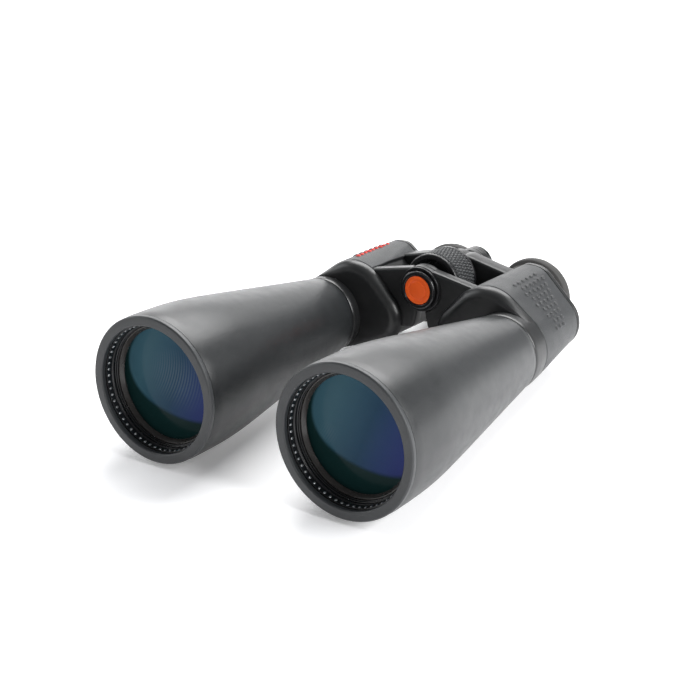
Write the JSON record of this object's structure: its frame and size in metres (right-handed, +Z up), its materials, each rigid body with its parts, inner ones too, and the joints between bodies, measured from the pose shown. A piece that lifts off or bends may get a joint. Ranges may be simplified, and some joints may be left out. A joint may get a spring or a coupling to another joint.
{
  "type": "astronomy binoculars",
  "caption": "Giant centre-focus porro-prism binoculars with large objectives, folding hinge, focus wheel, sliding eyepieces and capped tripod socket.",
  "frame": {"origin": "middle of the footprint, on the surface that the binoculars lie on", "axes": "+Y towards the eyepieces along the length, +X towards the barrel of the user's left eye, +Z up; the optical axes slope 5.08 degrees down towards the eyepieces"},
  "size_m": [0.2206, 0.2802, 0.0903],
  "materials": {
    "black_paint": "fine satin texture",
    "armour_rubber": "moulded, matt",
    "soft_rubber": "soft, matt",
    "black_metal": "black anodised",
    "steel": "turned",
    "brass": "turned",
    "black_plastic": "semi-gloss, moulded",
    "orange_plastic": "printed disc",
    "coated_glass": "multi-coated, blue-green reflex",
    "clear_glass": "polished"
  },
  "bodies": {
    "spine": {"hinge_axle": "black_metal", "tripod_socket": "brass", "wheel_spacer": "black_metal", "thrust_washer": "brass", "axle_nut": "black_metal"},
    "left_half": {"left_barrel": "black_paint", "left_objective_bezel": "black_metal", "left_objective_lock_ring": "black_metal", "left_objective_cell": "black_metal", "left_lens_spacer_ring": "soft_rubber", "left_crown_lens": "coated_glass", "left_flint_lens": "clear_glass", "left_prism_housing": "black_paint", "left_armour": "armour_rubber", "left_rear_cover": "black_paint", "left_cover_screw_upper": "steel", "left_cover_screw_lower": "steel", "left_prism_shelf": "black_metal", "left_front_prism": "clear_glass", "left_rear_prism": "clear_glass", "left_front_prism_clip": "steel", "left_rear_prism_clip": "steel", "left_tube_bushing": "black_metal"},
    "right_half": {"right_barrel": "black_paint", "right_objective_bezel": "black_metal", "right_objective_lock_ring": "black_metal", "right_objective_cell": "black_metal", "right_lens_spacer_ring": "soft_rubber", "right_crown_lens": "coated_glass", "right_flint_lens": "clear_glass", "right_prism_housing": "black_paint", "right_armour": "armour_rubber", "right_rear_cover": "black_paint", "right_cover_screw_upper": "steel", "right_cover_screw_lower": "steel", "right_prism_shelf": "black_metal", "right_front_prism": "clear_glass", "right_rear_prism": "clear_glass", "right_front_prism_clip": "steel", "right_rear_prism_clip": "steel", "right_tube_bushing": "black_metal"},
    "tripod_cap": {"tripod_cap": "black_plastic", "tripod_cap_inlay": "orange_plastic"},
    "focus_wheel": {"focus_wheel": "black_metal", "focus_wheel_grip": "armour_rubber"},
    "bridge": {"bridge_hub": "black_paint", "bridge_cap": "black_plastic", "focus_spindle": "steel"},
    "left_ocular": {"left_ocular_arm": "black_paint", "left_ocular_collar": "black_plastic", "left_ocular_tube": "black_metal", "left_eyecup": "soft_rubber", "left_field_lens": "clear_glass", "left_eye_lens": "coated_glass"},
    "right_ocular_arm": {"right_ocular_arm": "black_paint"},
    "dioptre_ring": {"dioptre_ring": "black_plastic"},
    "right_ocular": {"right_ocular_tube": "black_metal", "right_eyecup": "soft_rubber", "right_field_lens": "clear_glass", "right_eye_lens": "coated_glass"}
  },
  "joints": [
    {"name": "left_fold", "type": "hinge", "parent": "spine", "child": "left_half", "pos_m": [0, 0.06523, 0.0548], "axis": [0, 0.9961, -0.0885], "range_deg": [-14, 7.5]},
    {"name": "right_fold", "type": "hinge", "parent": "spine", "child": "right_half", "pos_m": [0, 0.06523, 0.0548], "axis": [0, 0.9961, -0.0885], "range_deg": [-7.5, 14]},
    {"name": "focus_turn", "type": "hinge", "parent": "spine", "child": "focus_wheel", "pos_m": [0, 0.06921, 0.05444], "axis": [0, 0.9961, -0.0885], "range_deg": [-270, 270]},
    {"name": "focus_travel", "type": "slide", "parent": "spine", "child": "bridge", "axis": [0, 0.9961, -0.0885], "range_m": [-0.0035, 0.0035]},
    {"name": "left_arm_fold", "type": "hinge", "parent": "bridge", "child": "left_ocular", "pos_m": [0, 0.11005, 0.05081], "axis": [0, 0.9961, -0.0885], "range_deg": [-14, 7.5]},
    {"name": "right_arm_fold", "type": "hinge", "parent": "bridge", "child": "right_ocular_arm", "pos_m": [0, 0.11005, 0.05081], "axis": [0, 0.9961, -0.0885], "range_deg": [-7.5, 14]},
    {"name": "dioptre_turn", "type": "hinge", "parent": "right_ocular_arm", "child": "dioptre_ring", "pos_m": [-0.0313, 0.11301, 0.02756], "axis": [0, 0.9961, -0.0885], "range_deg": [-75, 75]},
    {"name": "dioptre_travel", "type": "slide", "parent": "right_ocular_arm", "child": "right_ocular", "axis": [0, 0.9961, -0.0885], "range_m": [-0.0015, 0.0015]},
    {"name": "cap_unscrew", "type": "slide", "parent": "spine", "child": "tripod_cap", "axis": [0, -0.9961, 0.0885], "range_m": [0, 0.012]}
  ],
  "couplings": [
    {"joint": "right_fold", "follows": "left_fold", "ratio": -1},
    {"joint": "left_arm_fold", "follows": "left_fold", "ratio": 1},
    {"joint": "right_arm_fold", "follows": "left_fold", "ratio": -1},
    {"joint": "focus_turn", "follows": "focus_travel", "rad_per_m": 1346.3},
    {"joint": "dioptre_turn", "follows": "dioptre_travel", "rad_per_m": 872.58}
  ]
}
